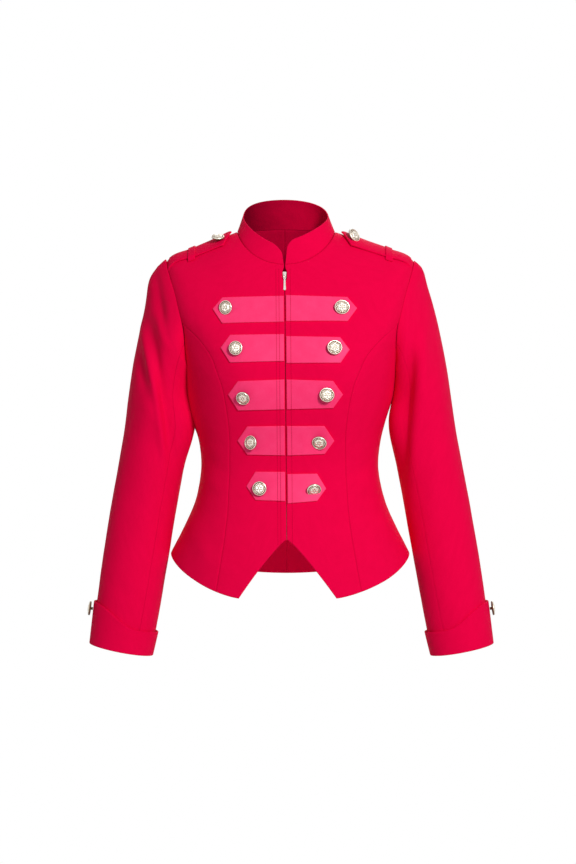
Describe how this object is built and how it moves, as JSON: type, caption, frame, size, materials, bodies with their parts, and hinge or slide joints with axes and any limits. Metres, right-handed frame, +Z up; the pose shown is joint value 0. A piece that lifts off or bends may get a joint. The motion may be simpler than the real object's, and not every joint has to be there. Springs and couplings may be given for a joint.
{
  "type": "military style cropped jacket",
  "caption": "Cropped fitted parade jacket with a stand collar, front zip, pointed satin tabs, shank buttons, shoulder straps and turned back cuffs, filled out and hollow",
  "frame": {"origin": "middle of the neck's base, level with the tops of the shoulders, where the wearer holds the jacket up", "axes": "+Z up, front of the jacket towards -Y, +X to the right as seen from the front"},
  "size_m": [0.6267, 0.2584, 0.7066],
  "materials": {
    "red_cloth": "smooth matt woven cloth",
    "pink_satin": "satin with a soft sheen",
    "pale_gold": "polished pale gold",
    "zip_tape": "woven tape",
    "zip_metal": "bright silver"
  },
  "bodies": {
    "jacket": {"back_left": "red_cloth", "back_right": "red_cloth", "button_1_left": "pale_gold", "button_1_right": "pale_gold", "button_2_left": "pale_gold", "button_2_right": "pale_gold", "button_3_left": "pale_gold", "button_3_right": "pale_gold", "button_4_left": "pale_gold", "button_4_right": "pale_gold", "button_5_left": "pale_gold", "button_5_right": "pale_gold", "collar": "red_cloth", "cuff_button_left": "pale_gold", "cuff_button_right": "pale_gold", "cuff_left": "red_cloth", "cuff_right": "red_cloth", "epaulette_button_left": "pale_gold", "epaulette_button_right": "pale_gold", "epaulette_left": "red_cloth", "epaulette_loop_left": "red_cloth", "epaulette_loop_right": "red_cloth", "epaulette_right": "red_cloth", "front_left": "red_cloth", "front_right": "red_cloth", "side_back_left": "red_cloth", "side_back_right": "red_cloth", "side_front_left": "red_cloth", "side_front_right": "red_cloth", "sleeve_under_left": "red_cloth", "sleeve_under_right": "red_cloth", "sleeve_upper_left": "red_cloth", "sleeve_upper_right": "red_cloth", "tab_1_left": "pink_satin", "tab_1_right": "pink_satin", "tab_2_left": "pink_satin", "tab_2_right": "pink_satin", "tab_3_left": "pink_satin", "tab_3_right": "pink_satin", "tab_4_left": "pink_satin", "tab_4_right": "pink_satin", "tab_5_left": "pink_satin", "tab_5_right": "pink_satin", "zip_chain": "zip_metal", "zip_slider": "zip_metal", "zip_tape_left": "zip_tape", "zip_tape_right": "zip_tape"},
    "pull": {"zip_pull": "zip_metal"}
  },
  "joints": [
    {"name": "pull_hinge", "type": "hinge", "parent": "jacket", "child": "pull", "pos_m": [-0.00601, -0.07026, -0.07163], "axis": [-1, 0, 0], "range_deg": [0, 120]}
  ]
}
